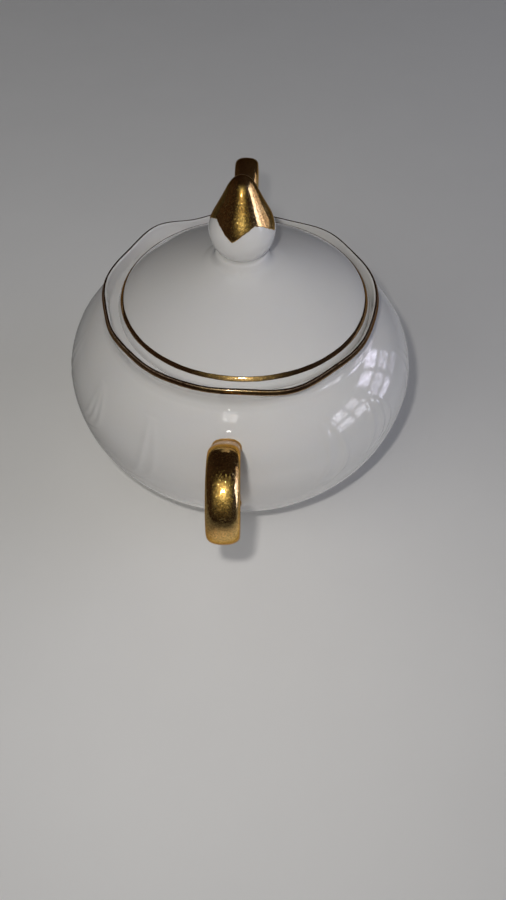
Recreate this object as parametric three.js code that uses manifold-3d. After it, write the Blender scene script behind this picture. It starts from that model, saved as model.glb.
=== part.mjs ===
// Two-handled porcelain sugar bowl with a lift-off lid and gilded trim.
//
// Frame: millimetres, +Z up, origin on the table under the centre of the foot ring.
// The two handles lie along +X and -X, so X is the longest direction.
// The bowl is one porcelain body; the handles and the lid's knob are separate pieces
// set against it. Gold trim is a thin shell that follows the glaze under it.
// Profiles are lists of [radius, height].
import * as THREE from 'three';
import * as BufferGeometryUtils from 'three/addons/utils/BufferGeometryUtils.js';
import Module from 'manifold-3d';

const wasm = await Module();
wasm.setup();

const { degToRad, radToDeg, lerp, mapLinear, smoothstep } = THREE.MathUtils;

// ---------------------------------------------------------------- shared dimensions
const TURNED_SEGMENTS = 60;     // segments round every large turned piece
const KNOB_SEGMENTS = 36;       // segments round the knob and its gold cap

const FILM = 0.25;              // thickness given to a gold film
const FILM_GAP = 0.08;          // clearance between a gold film and the glaze
const REST_GAP = 0.15;          // clearance between two pieces that rest together
const ROOT_GAP = 0.12;          // clearance between a handle's root and the body

const SEAT_Z = 62.0;            // ledge in the bowl's mouth that the lid rests on
const CROWN_Z = 80.8;           // flat on top of the lid that carries the knob

// ---------------------------------------------------------------- materials
function porcelain() {
  return new THREE.MeshStandardMaterial({ color: 0xe9e7e2, roughness: 0.12, metalness: 0.0 });
}

function gold() {
  return new THREE.MeshStandardMaterial({ color: 0xc99a3c, roughness: 0.22, metalness: 1.0 });
}

// ---------------------------------------------------------------- profiles
// Points on an elliptical arc. centre and radii are [radial, vertical]; angles in degrees.
function ellipseArc(centre, radii, from, to, steps) {
  const points = [];
  for (let i = 0; i <= steps; i++) {
    const angle = degToRad(from + ((to - from) * i) / steps);
    points.push([
      centre[0] + radii[0] * Math.cos(angle),
      centre[1] + radii[1] * Math.sin(angle),
    ]);
  }
  return points;
}

// Moves an open run of points to the right of its direction of travel, which is
// outward for a run that climbs the outside of a piece.
function offsetOut(run, distance) {
  return run.map(([r, z], i) => {
    const before = run[Math.max(i - 1, 0)];
    const after = run[Math.min(i + 1, run.length - 1)];
    const dr = after[0] - before[0];
    const dz = after[1] - before[1];
    const length = Math.hypot(dr, dz);
    return [r + (dz / length) * distance, z - (dr / length) * distance];
  });
}

// ---------------------------------------------------------------- solids
// Makes a geometry from flat positions and triangles, flipping it if it is inside out.
function solid(positions, index) {
  const corner = (k) => new THREE.Vector3().fromArray(positions, 3 * index[k]);
  let volume = 0;
  for (let k = 0; k < index.length; k += 3) {
    volume += corner(k).dot(corner(k + 1).cross(corner(k + 2)));
  }
  if (volume < 0) {
    for (let k = 0; k < index.length; k += 3) {
      [index[k + 1], index[k + 2]] = [index[k + 2], index[k + 1]];
    }
  }
  const geometry = new THREE.BufferGeometry();
  geometry.setAttribute('position', new THREE.Float32BufferAttribute(positions, 3));
  geometry.setIndex(index);
  geometry.computeVertexNormals();
  return geometry;
}

// Turns an open profile that starts and ends on the axis, or a closed loop that stays
// clear of it, into one solid. move(r, z, angle) may shift each point off the axis.
function turned(profile, { segments = TURNED_SEGMENTS, loop = false, move } = {}) {
  const positions = [];
  const addPoint = (x, y, z) => positions.push(x, y, z) / 3 - 1;
  const rings = profile.map(([r, z]) => {
    if (r === 0) return [addPoint(0, 0, z)];
    return Array.from({ length: segments }, (_, i) => {
      const angle = (i / segments) * 2 * Math.PI;
      const [radius, height] = move ? move(r, z, angle) : [r, z];
      return addPoint(radius * Math.cos(angle), radius * Math.sin(angle), height);
    });
  });

  const index = [];
  const bands = loop ? rings.length : rings.length - 1;
  for (let k = 0; k < bands; k++) {
    const low = rings[k];
    const high = rings[(k + 1) % rings.length];
    for (let i = 0; i < segments; i++) {
      const j = (i + 1) % segments;
      if (low.length === 1) index.push(low[0], high[j], high[i]);
      else if (high.length === 1) index.push(low[i], low[j], high[0]);
      else index.push(low[i], low[j], high[j], low[i], high[j], high[i]);
    }
  }
  return solid(positions, index);
}

// A band of gold film lying over an open run of glaze points.
function goldBand(run, move) {
  const inner = offsetOut(run, FILM_GAP);
  const outer = offsetOut(run, FILM_GAP + FILM);
  return turned([...inner, ...outer.reverse()], { loop: true, move });
}

function toManifold(geometry) {
  geometry.deleteAttribute('normal');
  const merged = BufferGeometryUtils.mergeVertices(geometry, 1e-5);
  return new wasm.Manifold(new wasm.Mesh({
    numProp: 3,
    vertProperties: new Float32Array(merged.attributes.position.array),
    triVerts: new Uint32Array(merged.index.array),
  }));
}

function fromManifold(manifold) {
  const mesh = manifold.getMesh();
  const geometry = new THREE.BufferGeometry();
  const positions = new Float32Array(mesh.vertProperties);
  geometry.setAttribute('position', new THREE.BufferAttribute(positions, 3));
  geometry.setIndex(new THREE.BufferAttribute(new Uint32Array(mesh.triVerts), 1));
  geometry.computeVertexNormals();
  return geometry;
}

// ---------------------------------------------------------------- bowl body
const WALL = 3.0;               // body wall thickness
const FOOT_R_IN = 28.2;         // foot ring, inside edge of its flat
const FOOT_R_OUT = 31.2;        // foot ring, outside edge of its flat
const FOOT_RECESS = 2.4;        // depth of the recess at the foot ring
const RECESS_R = 26.6;          // radius of the recess inside the foot ring
const RECESS_DOME = 0.3;        // extra depth of the recess at its centre
const FOOT_TOP = [32.6, 2.3];   // top of the foot's outside
const FLOOR_Z = 6.2;            // inside floor of the bowl
const FLOOR_R = 20;             // radius of the floor's flat

const BELLY_Z = 36.4;           // height of the widest point
const BELLY_R = 60.1;           // widest radius
const LOW_CENTRE_R = 31.0;      // centre of the lower ellipse arc
const LOW_RISE = 33.4;          // its vertical semi-axis
const UP_CENTRE_R = 31.6;       // centre of the upper (shoulder) ellipse arc
const UP_RISE = 25.1;           // its vertical semi-axis

const NECK_R = 44.2;            // waist of the collar under the lip
const NECK_Z = 60.7;
const LIP_R = 45.5;             // outside of the porcelain lip
const LIP_Z = 66.0;             // mean height of the top of the lip
const LIP_R_IN = 43.9;          // inside of the lip
const UNEVEN_FROM_Z = 62.6;     // the lip's unevenness fades in from here up to LIP_Z
const SEAT_R_OUT = 43.2;        // inside wall round the ledge
const THROAT_R = 39.3;          // opening inside the ledge

// The lip is scalloped into nine soft lobes and is a little uneven.
// Each row: lobes round the rim, size in mm, angle of a crest in degrees.
const LIP_RADIAL = [
  [2, 0.32, 39.6], [3, 0.28, 5.8], [4, 0.07, 31.3], [5, 0.12, 30.5],
  [6, 0.10, 28.3], [7, 0.14, 24.2], [8, 0.09, 1.1], [9, 0.34, 21.7],
  [10, 0.06, 17.8], [11, 0.07, 25.3], [12, 0.04, 24.3], [13, 0.06, 24.2],
];
const LIP_RISE = [
  [3, 0.27, 97.3], [4, 0.16, 54.1], [5, 0.08, 66.2], [6, 0.16, 56.6], [7, 0.05, 26.7],
  [8, 0.17, 44.9], [9, 0.26, 24.4], [10, 0.07, 9.2], [12, 0.08, 9.8], [13, 0.09, 1.1],
];

function waveSum(rows, angle) {
  return rows.reduce(
    (sum, [lobes, size, crest]) => sum + size * Math.cos(lobes * (angle - degToRad(crest))),
    0,
  );
}

function unevenLip(r, z, angle) {
  const share = smoothstep(z, UNEVEN_FROM_Z, LIP_Z);
  return [r + share * waveSum(LIP_RADIAL, angle), z + share * waveSum(LIP_RISE, angle)];
}

// Ellipse centres and radii of the wall's two arcs, on the outside.
const LOW_CENTRE = [LOW_CENTRE_R, BELLY_Z];
const UP_CENTRE = [UP_CENTRE_R, BELLY_Z];
const LOW_HALF_WIDTH = BELLY_R - LOW_CENTRE_R;
const UP_HALF_WIDTH = BELLY_R - UP_CENTRE_R;

// Outside of the wall from the foot up to the collar's waist.
const OUTER_WALL = [
  FOOT_TOP,
  ...ellipseArc(LOW_CENTRE, [LOW_HALF_WIDTH, LOW_RISE], -84, 0, 7),
  ...ellipseArc(UP_CENTRE, [UP_HALF_WIDTH, UP_RISE], 0, 64.2, 6).slice(1),
  [NECK_R, NECK_Z],
];

// Over the lip from outside to inside.
const LIP_RUN = [
  [44.95, 63.9], [LIP_R, 65.2], [45.3, 65.8], [44.75, LIP_Z], [44.2, 65.8], [LIP_R_IN, 65.1],
];

function bowlBody() {
  const upRadii = [UP_HALF_WIDTH - WALL, UP_RISE - WALL];
  const lowRadii = [LOW_HALF_WIDTH - WALL, BELLY_Z - FLOOR_Z];
  const profile = [
    [0, FOOT_RECESS + RECESS_DOME],
    [RECESS_R, FOOT_RECESS],
    [FOOT_R_IN, 0],
    [FOOT_R_OUT, 0],
    [32.3, 0.9],
    ...OUTER_WALL,
    ...LIP_RUN,
    [SEAT_R_OUT, SEAT_Z],
    [THROAT_R, SEAT_Z],
    ...ellipseArc(UP_CENTRE, upRadii, 72.2, 0, 5),
    ...ellipseArc(LOW_CENTRE, lowRadii, 0, -84, 6).slice(1),
    [FLOOR_R, FLOOR_Z],
    [0, FLOOR_Z],
  ];
  return turned(profile, { move: unevenLip });
}

// Gold over the outer edge and the top of the lip.
function rimGilding() {
  return goldBand([[45.32, 64.75], ...LIP_RUN.slice(1, 4), [44.5, 65.91]], unevenLip);
}

// ---------------------------------------------------------------- lid
// The lid sits a little off the bowl's centre.
const LID_X = 0.2;
const LID_Y = 1.32;
const LID_EDGE_R = 41.4;        // outermost radius of the lid
const LID_LINE_R = 39.5;        // a point on the shoulder under the gold line
const LID_LINE_Z = 66.3;
const DOME_START = [38.6, 66.95]; // where the shoulder meets the dome
const DOME_CONTROL = [24.0, 75.4]; // control point of the dome's curve
const FILLET_R = 10.6;          // where the crown's fillet meets the dome
const FILLET_Z = 78.7;
const CROWN_R = 6.3;            // radius of the flat that carries the knob
const CROWN_DEPTH = 5.2;        // porcelain under the centre of that flat
const FLANGE_R = 37.6;          // flange under the lid, outside
const FLANGE_R_IN = 35.4;       // and inside
const FLANGE_Z = 57.0;          // its lower edge
const LID_REST_Z = SEAT_Z + REST_GAP;

// From the lid's outer edge up to the dome.
const LID_SHOULDER = [
  [LID_EDGE_R, 62.95], [41.2, 63.9], [40.75, 64.8],
  [40.1, 65.65], [LID_LINE_R, LID_LINE_Z], DOME_START,
];

function lidShell() {
  const dome = new THREE.QuadraticBezierCurve(
    new THREE.Vector2(...DOME_START),
    new THREE.Vector2(...DOME_CONTROL),
    new THREE.Vector2(FILLET_R, FILLET_Z),
  );
  return turned([
    // underside, from the axis out to the flange
    [0, CROWN_Z - CROWN_DEPTH],
    [7.5, 75.4],
    [20, 70.9],
    [30, 66.6],
    [FLANGE_R_IN, 62.6],
    // flange
    [FLANGE_R_IN + 0.2, FLANGE_Z + 0.5],
    [FLANGE_R_IN + 0.9, FLANGE_Z],
    [FLANGE_R - 0.6, FLANGE_Z],
    [FLANGE_R, FLANGE_Z + 0.7],
    [FLANGE_R, LID_REST_Z + 0.1],
    // resting face
    [FLANGE_R + 0.4, LID_REST_Z],
    [LID_EDGE_R - 0.6, LID_REST_Z],
    [LID_EDGE_R - 0.1, LID_REST_Z + 0.4],
    // top
    ...LID_SHOULDER,
    ...dome.getPoints(6).slice(1).map((point) => point.toArray()),
    [8.4, 79.3],
    [7.1, 80.1],
    [CROWN_R, CROWN_Z],
    [0, CROWN_Z],
  ]);
}

// Gold line round the lid's shoulder.
function lidGoldLine() {
  return goldBand([[40.3, 65.39], ...LID_SHOULDER.slice(3, 5), [39.3, 66.44]]);
}

// ---------------------------------------------------------------- knob
// The knob stands a little off the lid's centre.
const KNOB_X = -0.65;
const KNOB_Y = -0.7;
const KNOB_R = 10.2;            // knob radius at its widest
const KNOB_Z = 89.4;            // height of its widest point
const KNOB_TOP = 105.8;         // height of its porcelain tip
const KNOB_BASE_R = 5.6;        // radius of its flat base
const KNOB_BASE_Z = CROWN_Z + REST_GAP;

// From the widest point up to just below the tip.
const KNOB_UPPER = [
  [KNOB_R, KNOB_Z], [9.72, 91.7], [8.78, 93.9], [7.5, 96.3],
  [6.2, 98.7], [5.05, 101.0], [3.9, 103.2], [2.4, 104.9],
];

const PETALS = 4;               // pointed petals at the gold cap's lower edge
const PETAL_TIP_Z = 90.6;       // lowest point of each petal
const PETAL_VALLEY_Z = 94.7;    // highest point of the edge between petals
const PETAL_ANGLE = -15;        // direction of the first petal tip, degrees from +X
const PETAL_POWER = 1.35;       // above 1 hollows the petal's sides
const CAP_GAP = FILM_GAP + 0.06; // clearance between the cap and the glaze
const CAP_LIFT = 0.45;          // rise of a skin per mm of its outward offset
const CAP_TIP_LIFT = 1.1;       // the same at the tip
const CAP_ROW_RISE = 0.35;      // least mean spacing of the rows above the petal edge

function lidKnob() {
  return turned([
    [0, KNOB_BASE_Z],
    [KNOB_BASE_R, KNOB_BASE_Z],
    [7.6, 82.6],
    [9.05, 84.7],
    [9.93, 87.0],
    ...KNOB_UPPER,
    [0, KNOB_TOP],
  ], { segments: KNOB_SEGMENTS });
}

// Radius of the knob's upper part at a height.
function knobRadius(height) {
  const above = KNOB_UPPER.findIndex(([, z], i) => i > 0 && height <= z);
  const [lowR, lowZ] = KNOB_UPPER[above - 1];
  const [highR, highZ] = KNOB_UPPER[above];
  return mapLinear(height, lowZ, highZ, lowR, highR);
}

// Height of the cap's lower edge in a direction.
function petalEdge(angle) {
  const pitch = 360 / PETALS;
  const fromTip = (((radToDeg(angle) - PETAL_ANGLE) % pitch) + pitch) % pitch;
  const tipness = Math.abs(fromTip - pitch / 2) / (pitch / 2); // 1 on a tip, 0 in a valley
  return PETAL_VALLEY_Z - (PETAL_VALLEY_Z - PETAL_TIP_Z) * Math.pow(tipness, PETAL_POWER);
}

// The cap's two skins run from the petal edge to the tip. Their rows above the edge
// take the levels of the knob's own profile, so the cap's facets lie over the knob's.
function knobGilding() {
  const segments = KNOB_SEGMENTS;
  const levels = KNOB_UPPER.slice(2).map(([, z]) => z);
  const positions = [];
  const addPoint = (x, y, z) => positions.push(x, y, z) / 3 - 1;

  function addSkin(distance) {
    const rows = [];
    for (let k = 0; k <= levels.length; k++) {
      const row = [];
      for (let i = 0; i < segments; i++) {
        const angle = (i / segments) * 2 * Math.PI;
        const edge = petalEdge(angle);
        const height = k === 0 ? edge : Math.max(levels[k - 1], edge + CAP_ROW_RISE * k);
        const radius = knobRadius(height) + distance;
        row.push(addPoint(
          radius * Math.cos(angle),
          radius * Math.sin(angle),
          height + distance * CAP_LIFT,
        ));
      }
      rows.push(row);
    }
    return { rows, tip: addPoint(0, 0, KNOB_TOP + distance * CAP_TIP_LIFT) };
  }

  const inner = addSkin(CAP_GAP);
  const outer = addSkin(CAP_GAP + FILM);
  const index = [];
  const addQuad = (a, b, c, d) => index.push(a, b, c, a, c, d);
  const addColumn = ({ rows, tip }, i, j) => {
    for (let k = 0; k < levels.length; k++) {
      addQuad(rows[k][i], rows[k][j], rows[k + 1][j], rows[k + 1][i]);
    }
    index.push(rows[levels.length][i], rows[levels.length][j], tip);
  };
  for (let i = 0; i < segments; i++) {
    const j = (i + 1) % segments;
    addColumn(outer, i, j);
    // the inner skin faces the other way
    addColumnReversed(inner, i, j);
    addQuad(inner.rows[0][i], inner.rows[0][j], outer.rows[0][j], outer.rows[0][i]);
  }
  return solid(positions, index);

  // Keeps the same diagonals as the reversed column order gives.
  function addColumnReversed(skin, i, j) {
    addColumn(skin, j, i);
  }
}

// ---------------------------------------------------------------- handles
const STRAP_W = [8.3, 9.2];     // strap width at its roots and at its middle
const STRAP_T = [5.0, 4.8];     // strap thickness at its roots and at its middle
const STRAP_W_POWER = 0.82;     // below 1 squares the section across its width
const STRAP_T_POWER = 0.9;      // and across its thickness
const STRAP_STEP = 3.1;         // target spacing of the sections
const STRAP_SIDES = 12;         // points round a section

// The ear-shaped centre line starts inside the shoulder and ends inside the belly.
const STRAP_START = [50.04, 46.74]; // distance from the bowl's axis, height
const STRAP_HEADING = 48;       // degrees above the outward direction
// Clockwise arcs as [turn in degrees, radius] and straights as [0, length].
const STRAP_PATH = [
  [0, 24], [33, 8.4], [48, 10.0], [30, 17.2], [58, 8.6], [14, 16], [9, 90], [0, 17],
];

const HANDLE_Y = -0.9;          // both handles sit slightly to one side
const HANDLE_SKEW = 1.6;        // right handle's turn about a vertical line, degrees
const SKEW_PIVOT_X = 84;        // where that line stands

function strapLine() {
  let [x, z] = STRAP_START;
  let heading = degToRad(STRAP_HEADING);
  const line = [{ x, z, heading }];
  for (const [turn, size] of STRAP_PATH) {
    const length = turn === 0 ? size : degToRad(turn) * size;
    const steps = Math.max(1, Math.round(length / STRAP_STEP));
    const stepTurn = degToRad(turn) / steps;
    const chord = turn === 0 ? length / steps : 2 * size * Math.sin(stepTurn / 2);
    for (let i = 0; i < steps; i++) {
      x += Math.cos(heading - stepTurn / 2) * chord;
      z += Math.sin(heading - stepTurn / 2) * chord;
      heading -= stepTurn;
      line.push({ x, z, heading });
    }
  }
  return line;
}

// Sweeps a rounded section along the centre line.
function strap() {
  const signedPower = (value, power) => Math.sign(value) * Math.pow(Math.abs(value), power);
  const line = strapLine();
  const last = line.length - 1;
  const positions = [];
  line.forEach(({ x, z, heading }, station) => {
    const middle = Math.sin((Math.PI * station) / last); // 0 at the roots, 1 halfway
    const halfWidth = lerp(...STRAP_W, middle) / 2;
    const halfThickness = lerp(...STRAP_T, middle) / 2;
    for (let i = 0; i < STRAP_SIDES; i++) {
      const angle = ((i + 0.5) / STRAP_SIDES) * 2 * Math.PI;
      const across = halfWidth * signedPower(Math.cos(angle), STRAP_W_POWER);
      const through = halfThickness * signedPower(Math.sin(angle), STRAP_T_POWER);
      positions.push(x - Math.sin(heading) * through, across, z + Math.cos(heading) * through);
    }
  });

  const index = [];
  for (let station = 0; station < last; station++) {
    const a = station * STRAP_SIDES;
    const b = a + STRAP_SIDES;
    for (let i = 0; i < STRAP_SIDES; i++) {
      const j = (i + 1) % STRAP_SIDES;
      index.push(a + i, a + j, b + j, a + i, b + j, b + i);
    }
  }
  const end = last * STRAP_SIDES;
  for (let i = 1; i < STRAP_SIDES - 1; i++) {
    index.push(0, i + 1, i);
    index.push(end, end + i, end + i + 1);
  }
  return solid(positions, index);
}

// A filled body with the root clearance added, which cuts the handle roots to its curve.
function bodyEnvelope() {
  return toManifold(turned([[0, 1], ...offsetOut(OUTER_WALL, ROOT_GAP), [0, NECK_Z]]));
}

// Places the strap, cuts it against the body and keeps the largest piece.
function handle(placement) {
  const cut = toManifold(strap()).transform(placement.toArray()).subtract(bodyEnvelope());
  return fromManifold(cut.decompose().sort((a, b) => b.volume() - a.volume())[0]);
}

function rightHandle() {
  return handle(new THREE.Matrix4().makeTranslation(SKEW_PIVOT_X, HANDLE_Y, 0)
    .multiply(new THREE.Matrix4().makeRotationZ(degToRad(HANDLE_SKEW)))
    .multiply(new THREE.Matrix4().makeTranslation(-SKEW_PIVOT_X, 0, 0)));
}

function leftHandle() {
  return handle(new THREE.Matrix4().makeTranslation(0, HANDLE_Y, 0)
    .multiply(new THREE.Matrix4().makeRotationZ(Math.PI)));
}

// ---------------------------------------------------------------- assembly
function piece(name, geometry, material) {
  const mesh = new THREE.Mesh(geometry, material);
  mesh.name = name;
  return mesh;
}

const bowl = new THREE.Group();
bowl.add(
  piece('bowl_body', bowlBody(), porcelain()),
  piece('handle_right', rightHandle(), gold()),
  piece('handle_left', leftHandle(), gold()),
  piece('bowl_rim_gilding', rimGilding(), gold()),
);

const knob = new THREE.Group();
knob.position.set(KNOB_X, KNOB_Y, 0);
knob.add(
  piece('lid_knob', lidKnob(), porcelain()),
  piece('knob_gilding', knobGilding(), gold()),
);

const lid = new THREE.Group();
lid.position.set(LID_X, LID_Y, 0);
lid.add(
  piece('lid_shell', lidShell(), porcelain()),
  piece('lid_gold_line', lidGoldLine(), gold()),
  knob,
);

const sugarBowl = new THREE.Group();
sugarBowl.add(bowl, lid);

export default sugarBowl;
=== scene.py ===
# Two-handled porcelain sugar bowl with a lid, a knob and gold lustre.
# It stands on z = 0 with the bowl's axis on z; the handles point along +X and -X.
# The camera is on the +X side, high up, with +Y to its right.
# Pieces are drawn in millimetres and stored in metres; lights and camera are in metres.
import bpy
import math
import numpy as np
from mathutils import Matrix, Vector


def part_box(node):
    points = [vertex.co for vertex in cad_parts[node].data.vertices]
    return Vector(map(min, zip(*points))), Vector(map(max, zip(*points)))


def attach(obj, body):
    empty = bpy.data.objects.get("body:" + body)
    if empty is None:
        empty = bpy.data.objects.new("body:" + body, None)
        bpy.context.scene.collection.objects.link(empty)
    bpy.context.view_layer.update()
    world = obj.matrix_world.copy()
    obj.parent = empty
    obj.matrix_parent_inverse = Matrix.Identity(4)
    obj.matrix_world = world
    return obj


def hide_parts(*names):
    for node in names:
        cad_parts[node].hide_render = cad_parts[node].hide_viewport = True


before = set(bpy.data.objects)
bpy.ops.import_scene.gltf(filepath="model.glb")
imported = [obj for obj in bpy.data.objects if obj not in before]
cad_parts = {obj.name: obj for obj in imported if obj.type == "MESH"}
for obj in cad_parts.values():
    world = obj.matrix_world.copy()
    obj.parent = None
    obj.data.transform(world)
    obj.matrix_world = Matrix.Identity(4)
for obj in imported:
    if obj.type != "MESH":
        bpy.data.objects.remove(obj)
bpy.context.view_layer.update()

MM = 0.001
rad = math.radians


def box_centre(cad_name):
    """Middle of a CAD piece's box in x and y, in mm."""
    low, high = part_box(cad_name)
    return (low.x + high.x) / 2 / MM, (low.y + high.y) / 2 / MM


LID_CENTRE = box_centre("lid_shell")
KNOB_CENTRE = box_centre("lid_knob")


# ------------------------------------------------------------------ curves, rows of (r, z)
def smooth(start, end, x):
    """0 before start, 1 after end, an S-curve between."""
    share = np.clip((x - start) / (end - start), 0, 1)
    return share * share * (3 - 2 * share)


def lengths(run):
    """Distance along a run at each of its points."""
    steps = np.hypot(*np.diff(np.asarray(run), axis=0).T)
    return np.concatenate([[0], np.cumsum(steps)])


def fillet(points, steps):
    """Rounds a polyline. Each point is (r, z) or (r, z, fillet radius)."""
    out = []
    places = [np.array(point[:2], float) for point in points]
    radii = [point[2] if len(point) > 2 else 0.0 for point in points]
    for i, corner in enumerate(places):
        if radii[i] <= 0 or i in (0, len(places) - 1):
            out.append(corner)
            continue
        back, ahead = places[i - 1] - corner, places[i + 1] - corner
        back_length, ahead_length = np.hypot(*back), np.hypot(*ahead)
        back, ahead = back / back_length, ahead / ahead_length
        angle = math.acos(max(-1, min(1, float(back @ ahead))))
        reach = min(radii[i] / math.tan(angle / 2), back_length * 0.499, ahead_length * 0.499)
        start, end = corner + back * reach, corner + ahead * reach
        pull = corner * 0.9 + (start + end) / 2 * 0.1
        for k in range(steps + 1):
            share = k / steps
            out.append((1 - share) ** 2 * start + 2 * share * (1 - share) * pull
                       + share * share * end)
    return np.array(out)


def resample(run, step):
    """Points along a polyline at most step apart."""
    out = [run[0]]
    for start, end in zip(run[:-1], run[1:]):
        length = np.hypot(*(end - start))
        if length < 1e-6:
            continue
        count = max(1, int(math.ceil(length / step - 1e-9)))
        for k in range(1, count + 1):
            out.append(start + (end - start) * k / count)
    return np.array(out)


def even_out(run, step, least):
    """Resamples, then drops points closer than least to the one kept before."""
    run = resample(run, step)
    out = [run[0]]
    for point in run[1:-1]:
        if np.hypot(*(point - out[-1])) >= least:
            out.append(point)
    out.append(run[-1])
    return np.array(out)


def between(first, second, first_knot, second_knot, knot):
    span = second_knot - first_knot
    return (second_knot - knot) / span * first + (knot - first_knot) / span * second


def catmull(points, steps=10):
    """Centripetal Catmull-Rom curve through the points, with steps points a span."""
    points = np.asarray(points, float)
    padded = np.vstack([2 * points[0] - points[1], points, 2 * points[-1] - points[-2]])
    out = []
    for i in range(1, len(padded) - 2):
        near = padded[i - 1:i + 3]
        knots = [0.0]
        for j in range(3):
            knots.append(knots[-1] + np.linalg.norm(near[j + 1] - near[j]) ** 0.5)
        for k in range(steps):
            knot = knots[1] + (knots[2] - knots[1]) * k / steps
            lines = [between(near[j], near[j + 1], knots[j], knots[j + 1], knot)
                     for j in range(3)]
            bends = [between(lines[j], lines[j + 1], knots[j], knots[j + 2], knot)
                     for j in range(2)]
            out.append(between(bends[0], bends[1], knots[1], knots[2], knot))
    out.append(points[-1])
    return np.array(out)


def arc(centre_r, centre_z, half_width, half_height, start, end, steps):
    """Points on an ellipse from start to end degrees."""
    angles = np.radians(np.linspace(start, end, steps + 1))
    return [(centre_r + half_width * math.cos(a), centre_z + half_height * math.sin(a))
            for a in angles]


def left_normals(run):
    tangents = np.gradient(run, axis=0)
    tangents /= np.hypot(tangents[:, 0], tangents[:, 1])[:, None]
    return np.stack([-tangents[:, 1], tangents[:, 0]], 1)


def offset_run(run, distance):
    """Moves an open run to its left."""
    return run + left_normals(run) * distance


def cut_out(run, middle, before, after):
    """The part of a run from before mm ahead of point number middle to after mm past it."""
    along = lengths(run)
    first = int(np.argmin(np.abs(along - (along[middle] - before))))
    last = int(np.argmin(np.abs(along - (along[middle] + after))))
    return run[first:last]


# ------------------------------------------------------------------ meshes
def ring_angles(segments):
    return np.arange(segments) / segments * 2 * math.pi


def ring_points(centre, r, z, angles):
    return np.stack([centre[0] + r * np.cos(angles), centre[1] + r * np.sin(angles),
                     np.broadcast_to(z, angles.shape)], 1)


def ring_faces(counts, segments, closed):
    """Faces between successive rings; a ring with a count of 1 is a pole."""
    starts = np.concatenate([[0], np.cumsum(counts)])
    quads, tris = [], [np.zeros((0, 3), int)]
    here = np.arange(segments)
    following = (here + 1) % segments
    for k in range(len(counts) if closed else len(counts) - 1):
        other = (k + 1) % len(counts)
        a, b = starts[k], starts[other]
        if counts[k] == 1 and counts[other] == 1:
            continue
        if counts[k] == 1:
            tris.append(np.stack([np.full(segments, a), b + following, b + here], 1))
        elif counts[other] == 1:
            tris.append(np.stack([a + here, a + following, np.full(segments, b)], 1))
        else:
            quads.append(np.stack([a + here, a + following, b + following, b + here], 1))
    return np.concatenate(quads), np.concatenate(tris)


def face_outward(verts, quads, tris):
    """Flips every face if the enclosed volume comes out negative."""
    split = np.concatenate([tris, quads[:, [0, 1, 2]], quads[:, [0, 2, 3]]])
    corners = [verts[split[:, k]] for k in range(3)]
    volume = np.einsum("ij,ij->i", corners[0], np.cross(corners[1], corners[2])).sum()
    if volume < 0:
        return quads[:, ::-1], tris[:, ::-1]
    return quads, tris


def loft(name, rings, material, brush=None, closed=False):
    """A smooth-shaded object through rings of points in mm.

    brush holds one row a point: place along and across the brush strokes, then radius."""
    counts = [len(ring) for ring in rings]
    verts = np.concatenate([np.asarray(ring, float) for ring in rings])
    quads, tris = ring_faces(counts, max(counts), closed)
    quads, tris = face_outward(verts, quads, tris)
    mesh = bpy.data.meshes.new(name)
    mesh.vertices.add(len(verts))
    mesh.vertices.foreach_set("co", (verts * MM).astype(np.float32).ravel())
    corners = np.concatenate([quads.reshape(-1), tris.reshape(-1)]).astype(np.int32)
    mesh.loops.add(len(corners))
    mesh.loops.foreach_set("vertex_index", corners)
    quad_starts = np.arange(len(quads)) * 4
    tri_starts = len(quads) * 4 + np.arange(len(tris)) * 3
    starts = np.concatenate([quad_starts, tri_starts]).astype(np.int32)
    mesh.polygons.add(len(starts))
    mesh.polygons.foreach_set("loop_start", starts)
    mesh.polygons.foreach_set("use_smooth", np.ones(len(starts), bool))
    mesh.update(calc_edges=True)
    mesh.validate()
    if brush is not None:
        rows = np.concatenate([np.asarray(ring, float) for ring in brush])
        attribute = mesh.attributes.new("brush", "FLOAT_VECTOR", "POINT")
        attribute.data.foreach_set("vector", rows.astype(np.float32).ravel())
    piece = bpy.data.objects.new(name, mesh)
    bpy.context.scene.collection.objects.link(piece)
    mesh.materials.append(material)
    return piece


def lathe(name, profile, segments, material, move=None, centre=(0.0, 0.0)):
    """Turns a profile. move(r, z, angles, profile index) returns the moved (r, z)."""
    angles = ring_angles(segments)
    rings = []
    for index, (r, z) in enumerate(profile):
        if r < 1e-6:
            rings.append([[centre[0], centre[1], z]])
            continue
        if move:
            r, z = move(r, z, angles, index)
        rings.append(ring_points(centre, r, z, angles))
    return loft(name, rings, material)


def register(piece, cad_name, ride):
    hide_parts(cad_name)
    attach(piece, ride)


# ------------------------------------------------------------------ node graphs
BLACK, WHITE = (0, 0, 0), (1, 1, 1)


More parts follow.
